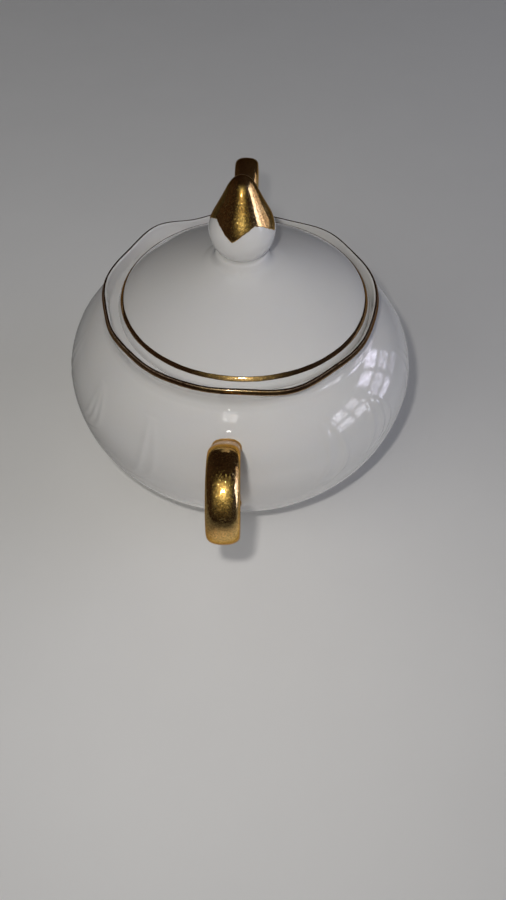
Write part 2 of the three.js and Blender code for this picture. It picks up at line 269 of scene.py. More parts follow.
class Graph:
    """Adds nodes to a tree. Any input takes either a value or another node's socket."""

    def __init__(self, tree, output=None):
        self.tree = tree
        if output:
            tree.nodes.clear()
            self.output = tree.nodes.new(output)

    def put(self, socket, value):
        if isinstance(value, bpy.types.NodeSocket):
            self.tree.links.new(value, socket)
        elif socket.type == "RGBA":
            socket.default_value = (*value, 1)
        else:
            socket.default_value = value

    def add(self, kind, inputs=None, **settings):
        node = self.tree.nodes.new(kind)
        for key, value in settings.items():
            setattr(node, key, value)
        for key, value in (inputs or {}).items():
            self.put(node.inputs[key], value)
        return node

    def finish(self, shader):
        self.put(self.output.inputs["Surface"], shader)

    def object_mm(self):
        """Object coordinates in millimetres."""
        point = self.add("ShaderNodeTexCoord").outputs["Object"]
        return self.vector("SCALE", point, 1000.0)

    def calc(self, operation, a, b=None, clamp=False):
        inputs = {0: a} if b is None else {0: a, 1: b}
        return self.add("ShaderNodeMath", inputs, operation=operation,
                        use_clamp=clamp).outputs[0]

    def times(self, a, b):
        return self.calc("MULTIPLY", a, b)

    def plus(self, a, b):
        return self.calc("ADD", a, b)

    def vector(self, operation, a, b=None):
        inputs = {0: a}
        if b is not None:
            inputs["Scale" if operation == "SCALE" else 1] = b
        node = self.add("ShaderNodeVectorMath", inputs, operation=operation)
        return node.outputs["Value" if operation in ("LENGTH", "DOT_PRODUCT") else "Vector"]

    def axes(self, vector):
        return self.add("ShaderNodeSeparateXYZ", {0: vector}).outputs

    def noise(self, vector, scale, detail=2.0, rough=0.5):
        return self.add("ShaderNodeTexNoise", {"Vector": vector, "Scale": scale,
                        "Detail": detail, "Roughness": rough}).outputs["Fac"]

    def cells(self, vector, scale):
        return self.add("ShaderNodeTexVoronoi",
                        {"Vector": vector, "Scale": scale, "Randomness": 1.0}).outputs

    def channels(self, colour):
        return self.add("ShaderNodeSeparateColor", {"Color": colour}).outputs

    def ramp(self, value, *stops, ease=False):
        """Colour ramp; each stop is (position, colour)."""
        node = self.add("ShaderNodeValToRGB", {"Fac": value})
        elements = node.color_ramp.elements
        while len(elements) < len(stops):
            elements.new(0.5)
        for k, (position, colour) in enumerate(stops):
            elements[k].position = position
            elements[k].color = (*colour, 1)
        if ease:
            node.color_ramp.interpolation = "EASE"
        return node.outputs["Color"]

    def mix(self, amount, a, b, blend="MIX"):
        return self.add("ShaderNodeMix", {0: amount, 6: a, 7: b},
                        data_type="RGBA", blend_type=blend).outputs[2]

    def mix_shader(self, amount, a, b):
        return self.add("ShaderNodeMixShader", {0: amount, 1: a, 2: b}).outputs[0]

    def remap(self, value, source, target, kind="LINEAR"):
        inputs = {"Value": value, "From Min": source[0], "From Max": source[1],
                  "To Min": target[0], "To Max": target[1]}
        return self.add("ShaderNodeMapRange", inputs, interpolation_type=kind).outputs[0]

    def bump(self, height, distance, strength, normal=None):
        inputs = {"Height": height, "Distance": distance, "Strength": strength}
        if normal is not None:
            inputs["Normal"] = normal
        return self.add("ShaderNodeBump", inputs).outputs["Normal"]


def new_material(name):
    material = bpy.data.materials.new(name)
    material.use_nodes = True
    return material, Graph(material.node_tree, "ShaderNodeOutputMaterial")


# ------------------------------------------------------------------ materials
GLAZE = (0.80, 0.79, 0.77)
GLAZE_DEEP = (GLAZE[0] * 0.972, GLAZE[1] * 0.972, GLAZE[2] * 0.985)
SPECK = (0.30, 0.25, 0.20)
BISCUIT_LIGHT, BISCUIT_DARK = (0.72, 0.70, 0.66), (0.60, 0.575, 0.53)


def porcelain(name, bare_below=None):
    """Glazed white porcelain, unglazed biscuit below bare_below (mm)."""
    material, g = new_material(name)
    point = g.object_mm()
    cloud = g.noise(point, scale=0.035, detail=3.0)
    colour = g.mix(g.ramp(cloud, (0.35, BLACK), (0.65, WHITE)), GLAZE, GLAZE_DEEP)
    # a few tiny specks, in one cell out of five
    cells = g.cells(point, scale=0.085)
    speck = g.ramp(cells["Distance"], (0.0, WHITE), (0.026, BLACK))
    chosen = g.calc("GREATER_THAN", g.channels(cells["Color"])[0], 0.80)
    colour = g.mix(g.times(g.times(speck, chosen), 0.55), colour, SPECK)
    # glaze surface: very low orange peel and a slow undulation
    peel = g.noise(point, scale=0.95)
    slow = g.noise(point, scale=0.09, rough=0.4)
    normal = g.bump(g.plus(g.times(peel, 0.30), slow), distance=0.00006, strength=1.0)
    rough = g.remap(g.noise(point, scale=0.22, detail=3.0, rough=0.6),
                    source=(0.3, 0.7), target=(0.075, 0.125))
    coat = 1.0
    if bare_below is not None:
        ragged = g.times(g.noise(point, scale=0.6), 0.25)
        height = g.plus(g.axes(point)["Z"], ragged)
        bare = g.times(g.calc("LESS_THAN", height, bare_below),
                       g.calc("GREATER_THAN", height, -1e6))
        grit = g.noise(point, scale=5.0, detail=3.0, rough=0.7)
        biscuit = g.mix(g.ramp(grit, (0.4, BLACK), (0.7, WHITE)), BISCUIT_LIGHT, BISCUIT_DARK)
        colour = g.mix(bare, colour, biscuit)
        rough = g.plus(rough, g.times(bare, 0.55))
        normal = g.bump(g.times(grit, bare), distance=0.00005, strength=0.6, normal=normal)
        coat = g.calc("SUBTRACT", 1.0, bare)
    g.finish(g.add("ShaderNodeBsdfPrincipled", {
        "Base Color": colour,
        "Roughness": rough,
        "Normal": normal,
        "IOR": 1.46,
        "Coat Weight": coat,
        "Coat Roughness": 0.045,
        "Coat IOR": 1.5,
        "Subsurface Weight": 0.12,
        "Subsurface Radius": (1.0, 0.85, 0.7),
        "Subsurface Scale": 0.0012,
    }).outputs[0])
    return material


CRYSTAL_COLOUR = (0.98, 0.70, 0.27)
BROWN_DARK, BROWN_LIGHT = (0.40, 0.24, 0.10), (0.56, 0.36, 0.16)
# pale colour of a highlight line painted along the lip, drawn as rubbed gold
HIGHLIGHT_LINE_PALE = (0.78, 0.68, 0.60)
MOTTLE = 0.42       # how far the crystals' brightness varies
CRYSTAL_TILT = 0.36


def gold(name, along, across, glow, flat_from, flat_most, pit=1.0, light=(0.97, 0.67, 0.28),
         dark=(0.86, 0.50, 0.17), rough=(0.03, 0.06), edge=(0.60, 0.42, 0.24), highlight_line=None):
    """Gold lustre over glaze: a mirror with brush marks, pits and a glow of tiny crystals.

    along, across: noise scale with and across the brush strokes. glow: share of crystals.
    flat_from, flat_most: where the brown seen edge-on starts, and its share. pit: depth
    of the pits. light, dark: body colours. rough: range of roughness. edge: specular tint.
    highlight_line: place across the strokes, in mm, of a pale line painted on as a highlight,
    drawn as gold rubbed thin."""
    material, g = new_material(name)
    point = g.object_mm()
    brush = g.add("ShaderNodeAttribute", attribute_name="brush").outputs["Vector"]
    strokes = g.add("ShaderNodeMapping", {"Vector": brush, "Scale": (along, across, 0.0)})
    streak = g.noise(strokes.outputs["Vector"], scale=1.0, detail=4.0, rough=0.55)
    cloud = g.noise(point, scale=0.16, detail=3.0, rough=0.55)
    grain = g.noise(point, scale=2.3, rough=0.6)
    pits = g.ramp(g.cells(point, scale=1.55)["Distance"], (0.05, WHITE), (0.30, BLACK),
                  ease=True)
    # the mirror's colour, roughness and relief
    tone = g.plus(g.times(cloud, 0.7), g.times(streak, 0.3))
    colour = g.mix(g.ramp(tone, (0.38, BLACK), (0.66, WHITE)), dark, light)
    colour = g.mix(g.times(pits, 0.25 * pit), colour,
                   (dark[0] * 0.6, dark[1] * 0.55, dark[2] * 0.5))
    roughness = g.remap(g.plus(g.times(streak, 0.6), g.times(cloud, 0.4)),
                        source=(0.32, 0.68), target=rough)
    height = g.plus(g.times(streak, 0.5), g.times(grain, 0.55 * pit))
    height = g.calc("SUBTRACT", height, g.times(pits, 0.35 * pit))
    normal = g.bump(height, distance=0.000020, strength=0.5)
    # each crystal has its own brightness and roughness
    crystals = g.cells(point, scale=2.7)["Color"]
    draw = g.channels(crystals)
    roughness = g.plus(roughness, g.times(g.calc("POWER", draw[1], 2.0), 0.07))
    shade = g.plus(g.times(g.calc("POWER", draw[2], 1.5), 1.35 * MOTTLE), 1.0 - MOTTLE)
    grey = g.add("ShaderNodeCombineColor", {0: shade, 1: shade, 2: shade}).outputs[0]
    colour = g.mix(1.0, colour, grey, blend="MULTIPLY")
    metallic = 1.0
    if highlight_line is not None:
        # along this line a pale highlight is painted on: the gold is drawn rubbed thin and the
        # glaze starts to show
        away = g.calc("ABSOLUTE", g.calc("SUBTRACT", g.axes(brush)["Y"], highlight_line))
        ragged = g.calc("SUBTRACT", g.noise(point, scale=0.8, detail=3.0, rough=0.6), 0.5)
        away = g.plus(away, g.times(ragged, 0.35))
        highlight_share = g.remap(away, source=(0.05, 0.16), target=(0.40, 0.0))
        colour = g.mix(highlight_share, colour, HIGHLIGHT_LINE_PALE)
        metallic = g.calc("SUBTRACT", 1.0, g.times(highlight_share, 0.7))
        roughness = g.plus(roughness, g.times(highlight_share, 0.12))
    mirror = g.add("ShaderNodeBsdfPrincipled", {
        "Metallic": metallic, "Specular Tint": edge, "Base Color": colour,
        "Roughness": roughness, "Normal": normal}).outputs[0]
    # the glow: crystals of the fired gold, each tilted its own way
    tilt = g.vector("SCALE", g.vector("SUBTRACT", crystals, (0.5, 0.5, 0.5)), CRYSTAL_TILT)
    crystal = g.add("ShaderNodeBsdfPrincipled", {
        "Metallic": 1.0, "Specular Tint": edge, "Base Color": CRYSTAL_COLOUR,
        "Roughness": 0.26,
        "Normal": g.vector("NORMALIZE", g.vector("ADD", tilt, normal))}).outputs[0]
    spark = g.plus(g.times(g.calc("POWER", draw[0], 2.5), 2.3), 0.32)
    soft = g.remap(cloud, source=(0.3, 0.7), target=(glow * 0.75, glow * 1.25))
    lustre = g.mix_shader(g.calc("MULTIPLY", soft, spark, clamp=True), mirror, crystal)
    # seen edge-on the lustre loses its mirror and shows a brown body colour
    facing = g.add("ShaderNodeLayerWeight", {"Blend": 0.5}).outputs["Facing"]
    brown = g.add("ShaderNodeBsdfDiffuse", {
        "Roughness": 0.3, "Color": g.mix(tone, BROWN_DARK, BROWN_LIGHT)}).outputs[0]
    brown_share = g.remap(facing, source=(flat_from, 0.98), target=(0.0, flat_most))
    g.finish(g.mix_shader(brown_share, lustre, brown))
    return material


BODY_GLAZE = porcelain("porcelain_body_glaze", bare_below=0.22)
LID_GLAZE = porcelain("porcelain_lid_glaze", bare_below=57.25)
KNOB_GLAZE = porcelain("porcelain_knob_glaze")
GOLD_STRAP = gold("gold_lustre_handles", along=0.20, across=2.4, glow=0.18,
                  flat_from=0.90, flat_most=0.4)
GOLD_KNOB = gold("gold_lustre_knob", along=0.55, across=0.30, glow=0.12,
                 flat_from=0.88, flat_most=0.6, pit=0.8, edge=(0.60, 0.44, 0.27))
GOLD_LINE = gold("gold_lustre_lines", along=0.35, across=1.6, glow=0.05,
                 flat_from=0.90, flat_most=0.15, pit=0.7, light=(0.78, 0.53, 0.29),
                 dark=(0.54, 0.34, 0.18), rough=(0.05, 0.10), edge=(0.34, 0.24, 0.17))
# the lip's gold has a pale highlight line painted along it
GOLD_LIP = gold("gold_lustre_lip", along=0.35, across=1.6, glow=0.03,
                flat_from=0.90, flat_most=0.05, pit=0.7, light=(0.66, 0.43, 0.24),
                dark=(0.48, 0.28, 0.14), rough=(0.05, 0.10), edge=(0.30, 0.21, 0.15),
                highlight_line=1.40)

# ------------------------------------------------------------------ bowl body
# The outside is two quarter ellipses that meet at the belly.
BELLY_Z, BELLY_R = 36.4, 60.1
LOW_CENTRE_R, LOW_RISE = 31.0, 33.4
UP_CENTRE_R, UP_RISE = 31.6, 25.1
LOW_HALF_WIDTH, UP_HALF_WIDTH = BELLY_R - LOW_CENTRE_R, BELLY_R - UP_CENTRE_R
WALL, FLOOR_Z = 3.0, 6.2


def low_arc(start, end, steps):
    return arc(LOW_CENTRE_R, BELLY_Z, LOW_HALF_WIDTH, LOW_RISE, start, end, steps)


def up_arc(start, end, steps):
    return arc(UP_CENTRE_R, BELLY_Z, UP_HALF_WIDTH, UP_RISE, start, end, steps)


LOW_OUTSIDE = low_arc(-82, 0, 90)
UP_OUTSIDE = up_arc(0, 60, 80)[1:]
UP_INSIDE = arc(UP_CENTRE_R, BELLY_Z, UP_HALF_WIDTH - WALL, UP_RISE - WALL, 72.2, 0, 26)
LOW_INSIDE = arc(LOW_CENTRE_R, BELLY_Z, LOW_HALF_WIDTH - WALL, BELLY_Z - FLOOR_Z,
                 0, -88, 26)[1:]

# (r, z, fillet radius): the underside and the foot ring, from the axis outwards
FOOT = fillet([(0, 2.75), (24, 2.55), (27.0, 2.35, 0.9), (27.75, 0.0, 0.55),
               (31.75, 0.0, 0.6), (32.75, 2.95, 0.9), LOW_OUTSIDE[0]], steps=6)
# (r, z, fillet radius): up the neck, over the lip, down the inside past the lid's ledge
NECK = fillet([UP_OUTSIDE[-1], (44.0, 59.75, 2.6), (44.4, 62.3, 3.0), (45.46, 64.85, 0.6),
               (44.80, 66.06, 0.6), (43.88, 66.06, 0.5), (43.2, 62.0, 0.5),
               (39.3, 62.0, 0.6), (39.28, 57.9, 0.8), UP_INSIDE[0]], steps=8)
BODY_PROFILE = even_out(
    np.vstack([FOOT, LOW_OUTSIDE[1:], UP_OUTSIDE, NECK[1:], UP_INSIDE[1:], LOW_INSIDE,
               [[20.0, FLOOR_Z], [0.0, FLOOR_Z]]]),
    step=0.62, least=0.16)
OUTSIDE_END = int(np.argmax(BODY_PROFILE[:, 1]))

# the outside again, finely, from the neck down, with the distance from its top
OUTSIDE = np.array(up_arc(66, 0, 400) + low_arc(0, -82, 400)[1:])
OUTSIDE_LENGTHS = lengths(OUTSIDE)

# Unevenness of the lip in mm: (waves round the lip, amount, angle of a crest in degrees)
LIP_RADIAL = [
    (2, 0.32, 39.6), (3, 0.28, 5.8), (4, 0.07, 31.3), (5, 0.12, 30.5), (6, 0.10, 28.3),
    (7, 0.14, 24.2), (8, 0.09, 1.1), (9, 0.34, 21.7), (10, 0.06, 17.8), (11, 0.07, 25.3),
    (12, 0.04, 24.3), (13, 0.06, 24.2),
]
LIP_RISE = [
    (3, 0.27, 97.3), (4, 0.16, 54.1), (5, 0.08, 66.2), (6, 0.16, 56.6), (7, 0.05, 26.7),
    (8, 0.17, 44.9), (9, 0.26, 24.4), (10, 0.07, 9.2), (12, 0.08, 9.8), (13, 0.09, 1.1),
]

# Low moulded scrolls on the belly, each group repeated on the opposite side:
# (middle in degrees, lines, start and end in mm below the neck);
# each line is (offset in degrees, half width in mm, height in mm).
SCROLLS = [
    (-50.6, [(-3.1, 0.80, 0.24), (0.0, 0.72, 0.30), (3.4, 0.85, 0.27)], 10.5, 29.5),
    (-26.2, [(-2.6, 0.85, 0.37), (2.2, 0.95, 0.30)], 10.0, 36.0),
    (33.6, [(-3.4, 0.95, 0.28), (3.3, 0.80, 0.36)], 10.0, 36.0),
    (53.4, [(-4.8, 0.85, 0.26), (0.6, 0.80, 0.32), (4.6, 0.85, 0.26)], 11.0, 31.0),
    (-77.0, [(-2.6, 0.85, 0.11), (2.2, 0.95, 0.10)], 10.0, 36.0),
    (79.0, [(-2.8, 0.90, 0.12), (2.8, 0.80, 0.12)], 10.0, 36.0),
]


def scroll_height(angles, below_neck, r):
    """Height in mm of the scrolls round one ring of the belly."""
    degrees = np.degrees(angles)
    height = np.zeros_like(degrees)
    for middle, lines, start, end in SCROLLS:
        share = (below_neck - start) / (end - start)
        if share <= 0 or share >= 1:
            continue
        # the scroll bulges one way and hooks back at its lower end
        sag = (-2.3 * max(0.0, (0.42 - share) / 0.42) ** 2
               - 7.0 * max(0.0, (share - 0.42) / 0.58) ** 2.6)
        if share < 0.8:
            spread = 0.35 + 0.65 * math.sin(math.pi * (share * 1.25) * 0.5)
        else:
            spread = 1.0 - 0.5 * (share - 0.8) / 0.2
        fade = math.sin(math.pi * share) ** 0.55
        for turn in (0.0, 180.0):
            away = (degrees - (middle + turn) + 180.0) % 360.0 - 180.0
            for offset, half_width, rise in lines:
                distance = (away - sag - offset * spread) * rad(1) * r
                height = height + rise * fade * np.exp(-(distance / (1.35 * half_width)) ** 2)
    return height


def wave(rows, angles):
    return sum(amount * np.cos(count * (angles - rad(crest))) for count, amount, crest in rows)


def unevenness(z, angles):
    """Slight out-of-round of the bowl, as a factor on the radius."""
    return (1 + 0.0007 * np.cos(2 * angles + 0.7) * smooth(4, 20, z)
            + 0.0004 * np.cos(3 * angles + 2.1))


def move_lip(r, z, angles):
    share = smooth(61.8, 64.9, z)
    return ((r + share * wave(LIP_RADIAL, angles)) * unevenness(z, angles),
            z + share * wave(LIP_RISE, angles))


def move_body(r, z, angles, index):
    if z > 62.0 and r > 41.5:
        return move_lip(r, z, angles)
    moved_r, moved_z = r, z
    if index < OUTSIDE_END and z > 8:
        near = int(np.argmin(np.hypot(OUTSIDE[:, 0] - r, OUTSIDE[:, 1] - z)))
        below_neck = OUTSIDE_LENGTHS[near]
        if 8 < below_neck < 40:
            above = OUTSIDE[max(near - 2, 0)]
            below = OUTSIDE[min(near + 2, len(OUTSIDE) - 1)]
            along_r, along_z = (below - above) / np.hypot(*(below - above))
            height = scroll_height(angles, below_neck, r)
            # the run goes down, so its left side is outside
            moved_r, moved_z = r - along_z * height, z + along_r * height
    return moved_r * unevenness(z, angles), moved_z


body = lathe("bowl_body_glazed", BODY_PROFILE, 600, BODY_GLAZE, move=move_body)
register(body, "bowl_body", ride="bowl")

# ------------------------------------------------------------------ gold films
FILM_GAP = 0.02     # between the glaze and the underside of the gold
FILM_THICK = 0.09
# wander of a film's edges: (waves round, phase step, amount, share of the seed)
WANDER = [(5, 1.3, 0.35, 1), (13, 2.1, 0.28, 1), (29, 0.7, 0.22, 0), (61, 1.9, 0.15, 0)]


def edge_height(share, border):
    """Share of a film's thickness near its edge, rounding over within the border."""
    rise = min(1.0, share / border)
    return 0.25 + 0.75 * math.sqrt(1 - (1 - rise) ** 2)


def film(name, run, material, wobble, move, seed, centre=(0, 0), segments=720):
    """A thin closed ring of gold to the right of run. Its edges wander by wobble mm."""
    along = lengths(run)
    angles = ring_angles(segments)

    def wander(phase):
        return sum(np.sin(count * angles + step * phase + weight * seed) * amount
                   for count, step, amount, weight in WANDER)

    first = wobble * (1.0 + wander(1.0))
    last = along[-1] - wobble * (1.0 + wander(2.0))
    # rows are closer together at the edges, where the film rounds over
    inner_rows = np.linspace(0, 1, 10)[1:-1]
    shares = np.concatenate([[0], [0.02, 0.05], inner_rows, [0.95, 0.98], [1]])
    heights = [FILM_GAP + FILM_THICK * edge_height(min(u, 1 - u), 0.05) for u in shares]
    rows = list(zip(shares, heights)) + [(u, FILM_GAP) for u in shares[::-1]]
    rings, brush = [], []
    for share, height in rows:
        curve = offset_run(run, -height)
        across = first + (last - first) * share
        r, z = move(np.interp(across, along, curve[:, 0]),
                    np.interp(across, along, curve[:, 1]), angles)
        rings.append(ring_points(centre, r, z, angles))
        brush.append(np.stack([np.degrees(angles), across, r], 1))
    return loft(name, rings, material, brush, closed=True)


neck_fine = resample(NECK, 0.06)
lip_run = cut_out(neck_fine, int(np.argmax(neck_fine[:, 1])), before=1.85, after=0.30)
lip_gold = film("lip_gilding", lip_run, GOLD_LIP, wobble=0.07, move=move_lip, seed=0.4)
register(lip_gold, "bowl_rim_gilding", ride="bowl")

# ------------------------------------------------------------------ handles
# Centre line of the strap in (x, z): straights and clockwise arcs from the shoulder
# to the belly. Each row is (turn in degrees, radius), or (0, length) for a straight.
STRAP_START, STRAP_HEADING = (50.04, 46.74), 48.0
STRAP_ARCS = [(0, 24.0), (33, 8.4), (48, 10.0), (30, 17.2), (58, 8.6), (14, 16.0),
              (9, 90.0), (0, 17.0)]
STRAP_STEP = 0.1
BEND_EASE = 1.1                         # spread of the easing between arcs
STRAP_WIDTH, MID_WIDER = 8.3, 0.9
STRAP_THICK, MID_THINNER = 5.0, 0.2
BRUSH_HALF_WIDTH, BRUSH_HALF_THICK = 4.6, 2.4   # section the brush marks are measured on
ROOT_REACH = 3.2                        # the strap swells this close to the body
STRAP_SUNK = 1.2                        # how far the ends go under the body's surface
SKEW_PIVOT_X = 84.0
STRAP_SHIFT_Y = -0.9
STRAP_ROWS, STRAP_SIDES = 230, 64


def strap_line():
    """The strap's centre line, with the change of curvature between its arcs eased."""
    bends = []
    for turn, size in STRAP_ARCS:
        length = size if turn == 0 else rad(turn) * size
        bend = 0.0 if turn == 0 else 1.0 / size
        bends += [bend] * max(1, int(round(length / STRAP_STEP)))
    padded = np.concatenate([np.full(60, bends[0]), bends, np.full(60, bends[-1])])
    weights = np.exp(-0.5 * (np.arange(-40, 41) * STRAP_STEP / BEND_EASE) ** 2)
    bends = np.convolve(padded, weights / weights.sum(), "same")[60:-60]
    heading = rad(STRAP_HEADING) - np.concatenate([[0], np.cumsum(bends) * STRAP_STEP])

    def travel(part, start):
        steps = (part[1:] + part[:-1]) / 2 * STRAP_STEP
        return np.concatenate([[0], np.cumsum(steps)]) + start

    return np.stack([travel(np.cos(heading), STRAP_START[0]),
                     travel(np.sin(heading), STRAP_START[1])], 1)


def body_radius(z):
    by_height = OUTSIDE[np.argsort(OUTSIDE[:, 1])]
    return np.interp(z, by_height[:, 1], by_height[:, 0])


def handle(name, turn, skew):
    """A strap handle, skewed about its outer end, then turned about z (degrees)."""
    line = strap_line()
    # run on straight at both ends, so that there is something to cut
    more = np.arange(1, 81)[:, None] * 0.1
    first, last = line[0] - line[5], line[-1] - line[-6]
    line = np.vstack([line[0] + first / np.hypot(*first) * more[::-1], line,
                      line[-1] + last / np.hypot(*last) * more])
    along = lengths(line)
    normals = left_normals(line)
    # half width and half thickness along the strap
    gap = line[:, 0] - body_radius(line[:, 1])
    start, end = along[np.where(gap > 0)[0][[0, -1]]]
    share = np.clip((along - start) / (end - start), 0, 1)
    middle = np.sin(math.pi * share)
    root = np.clip(1 - np.clip(gap, 0, None) / ROOT_REACH, 0, 1) ** 2
    half_width = ((STRAP_WIDTH + MID_WIDER * middle) / 2 * (1 + 0.10 * root)
                  * (1 + 0.006 * np.sin(9 * share + 0.5)))
    half_thick = (STRAP_THICK - MID_THINNER * middle) / 2 * (1 + 0.16 * root)
    # section: a rounded oblong
    angles = (np.arange(STRAP_SIDES) + 0.5) / STRAP_SIDES * 2 * math.pi
    cosine, sine = np.cos(angles), np.sin(angles)
    section_y = np.sign(cosine) * np.abs(cosine) ** 0.84
    section_out = np.sign(sine) * np.abs(sine) ** 0.92
    around = lengths(np.stack([section_y * BRUSH_HALF_WIDTH,
                               section_out * BRUSH_HALF_THICK], 1))
    cos_skew, sin_skew = math.cos(rad(skew)), math.sin(rad(skew))
    cos_turn, sin_turn = math.cos(rad(turn)), math.sin(rad(turn))
    strips, brush = [], []
    for j in range(STRAP_SIDES):
        # one line along the strap, cut under the body's surface at each end
        x = line[:, 0] + normals[:, 0] * half_thick * section_out[j]
        z = line[:, 1] + normals[:, 1] * half_thick * section_out[j]
        y = half_width * section_y[j]
        inward = x - SKEW_PIVOT_X
        x = SKEW_PIVOT_X + inward * cos_skew - y * sin_skew
        y = inward * sin_skew + y * cos_skew + STRAP_SHIFT_Y * cos_turn
        sunk = body_radius(z) - np.hypot(x, y) > STRAP_SUNK
        outermost = int(np.argmax(x))
        first = int(np.where(sunk[:outermost])[0][-1])
        last = outermost + int(np.where(sunk[outermost:])[0][0])
        places = np.linspace(along[first], along[last], STRAP_ROWS + 1)
        x, y, z = (np.interp(places, along, values) for values in (x, y, z))
        strips.append(np.stack([x * cos_turn - y * sin_turn,
                                x * sin_turn + y * cos_turn, z], 1))
        brush.append(np.stack([places, np.full(len(places), around[j]),
                               np.zeros(len(places))], 1))

    def with_ends(columns):
        rows = np.stack(columns, axis=1)
        return [[rows[0].mean(0)], *rows, [rows[-1].mean(0)]]

    return loft(name, with_ends(strips), GOLD_STRAP, with_ends(brush))


handles = []
for name, cad_name, turn, skew in (("handle_right_gilded", "handle_right", 0.0, 1.6),
                                   ("handle_left_gilded", "handle_left", 180.0, 0.0)):
    strap = handle(name, turn, skew)
    register(strap, cad_name, ride="bowl")
    handles.append(strap)

# ------------------------------------------------------------------ lid
CROWN_Z = 81.65
# (r, z) from the rim up to the crown under the knob
DOME_POINTS = [
    (40.1, 65.65), (39.5, 66.3), (38.6, 66.95), (35.0, 68.95), (29.0, 71.6), (23.0, 73.95),
    (17.0, 76.15), (12.6, 77.75), (10.9, 78.33), (9.95, 78.72), (9.3, 79.22), (8.85, 79.85),
    (8.5, 80.6), (8.2, 81.2), (7.75, 81.55), (7.3, CROWN_Z),
]
RIM_SIDE, RIM_TOP = (41.2, 63.9), (40.75, 64.8)
DOME = catmull(DOME_POINTS)
# (r, z, fillet radius): the underside, down and up the flange, and round the rim
UNDERSIDE = fillet([(0, 75.6), (7.5, 75.3), (20, 71.0, 6), (30, 66.8, 6), (35.4, 62.6, 2.0),
                    (35.6, 57.0, 0.7), (37.6, 57.0, 0.7), (37.6, 62.15, 0.4),
                    (41.25, 62.15, 0.35), (41.42, 62.95, 0.5), (*RIM_SIDE, 1.2),
                    (*RIM_TOP, 1.0), DOME_POINTS[0]], steps=6)
LID_PROFILE = even_out(np.vstack([UNDERSIDE[:-1], DOME, [[0.0, CROWN_Z]]]),
                       step=0.75, least=0.14)


def move_lid(r, z, angles):
    """Slightly out of round and warped, with the crown centred on the knob."""
    crown = smooth(77.2, 78.6, z)
    moved_r = r * (1 + 0.0006 * np.cos(2 * angles + 2.0))
    moved_r = moved_r + crown * ((KNOB_CENTRE[0] - LID_CENTRE[0]) * np.cos(angles)
                                 + (KNOB_CENTRE[1] - LID_CENTRE[1]) * np.sin(angles))
    warp = smooth(12, 30, r) * smooth(63, 66, z) * 0.10
    return moved_r, z + warp * np.cos(2 * angles + 0.4)


lid = lathe("lid_shell_glazed", LID_PROFILE, 420, LID_GLAZE, centre=LID_CENTRE,
            move=lambda r, z, angles, index: move_lid(r, z, angles))
register(lid, "lid_shell", ride="lid")

LINE_R, LINE_HALF_WIDTH = 39.82, 0.84
rim_fine = resample(np.vstack([[RIM_SIDE], [RIM_TOP], DOME[:60]]), 0.06)
line_run = cut_out(rim_fine, int(np.argmin(np.abs(rim_fine[:, 0] - LINE_R))),
                   before=LINE_HALF_WIDTH, after=LINE_HALF_WIDTH)
lid_line = film("lid_gold_line_film", line_run, GOLD_LINE, wobble=0.08, move=move_lid,
                seed=2.2, centre=LID_CENTRE)
register(lid_line, "lid_gold_line", ride="lid")

# ------------------------------------------------------------------ knob
# (r, z) from the neck up to the tip
KNOB_POINTS = [
    (5.2, 80.9), (6.6, 81.75), (8.05, 83.2), (9.25, 85.1), (9.98, 87.2), (10.2, 89.3),
    (9.85, 91.4), (8.85, 93.8), (7.5, 96.3), (6.2, 98.7), (5.05, 101.0), (3.95, 103.1),
    (2.75, 104.7), (1.45, 105.55), (0.0, 105.85),
]
# one mirrored point past the tip keeps the curve level there; the curve is then cut at r = 0
past_tip = (-KNOB_POINTS[-2][0], KNOB_POINTS[-2][1])
knob_curve = catmull(KNOB_POINTS + [past_tip])
KNOB_OUTLINE = knob_curve[:np.argmin(np.abs(knob_curve[:, 0])) + 1]
KNOB_PROFILE = even_out(np.vstack([[[0.0, 80.6]], [[4.6, 80.6]], KNOB_OUTLINE]),
                        step=0.4, least=0.12)
knob = lathe("lid_knob_glazed", KNOB_PROFILE, 180, KNOB_GLAZE, centre=KNOB_CENTRE)
register(knob, "lid_knob", ride="lid")

PETALS = 4
PETAL_TURN = 15.0                   # degrees
PETAL_NOTCH_Z, PETAL_DROP = 94.75, 4.15
CAP_THICK = 0.10


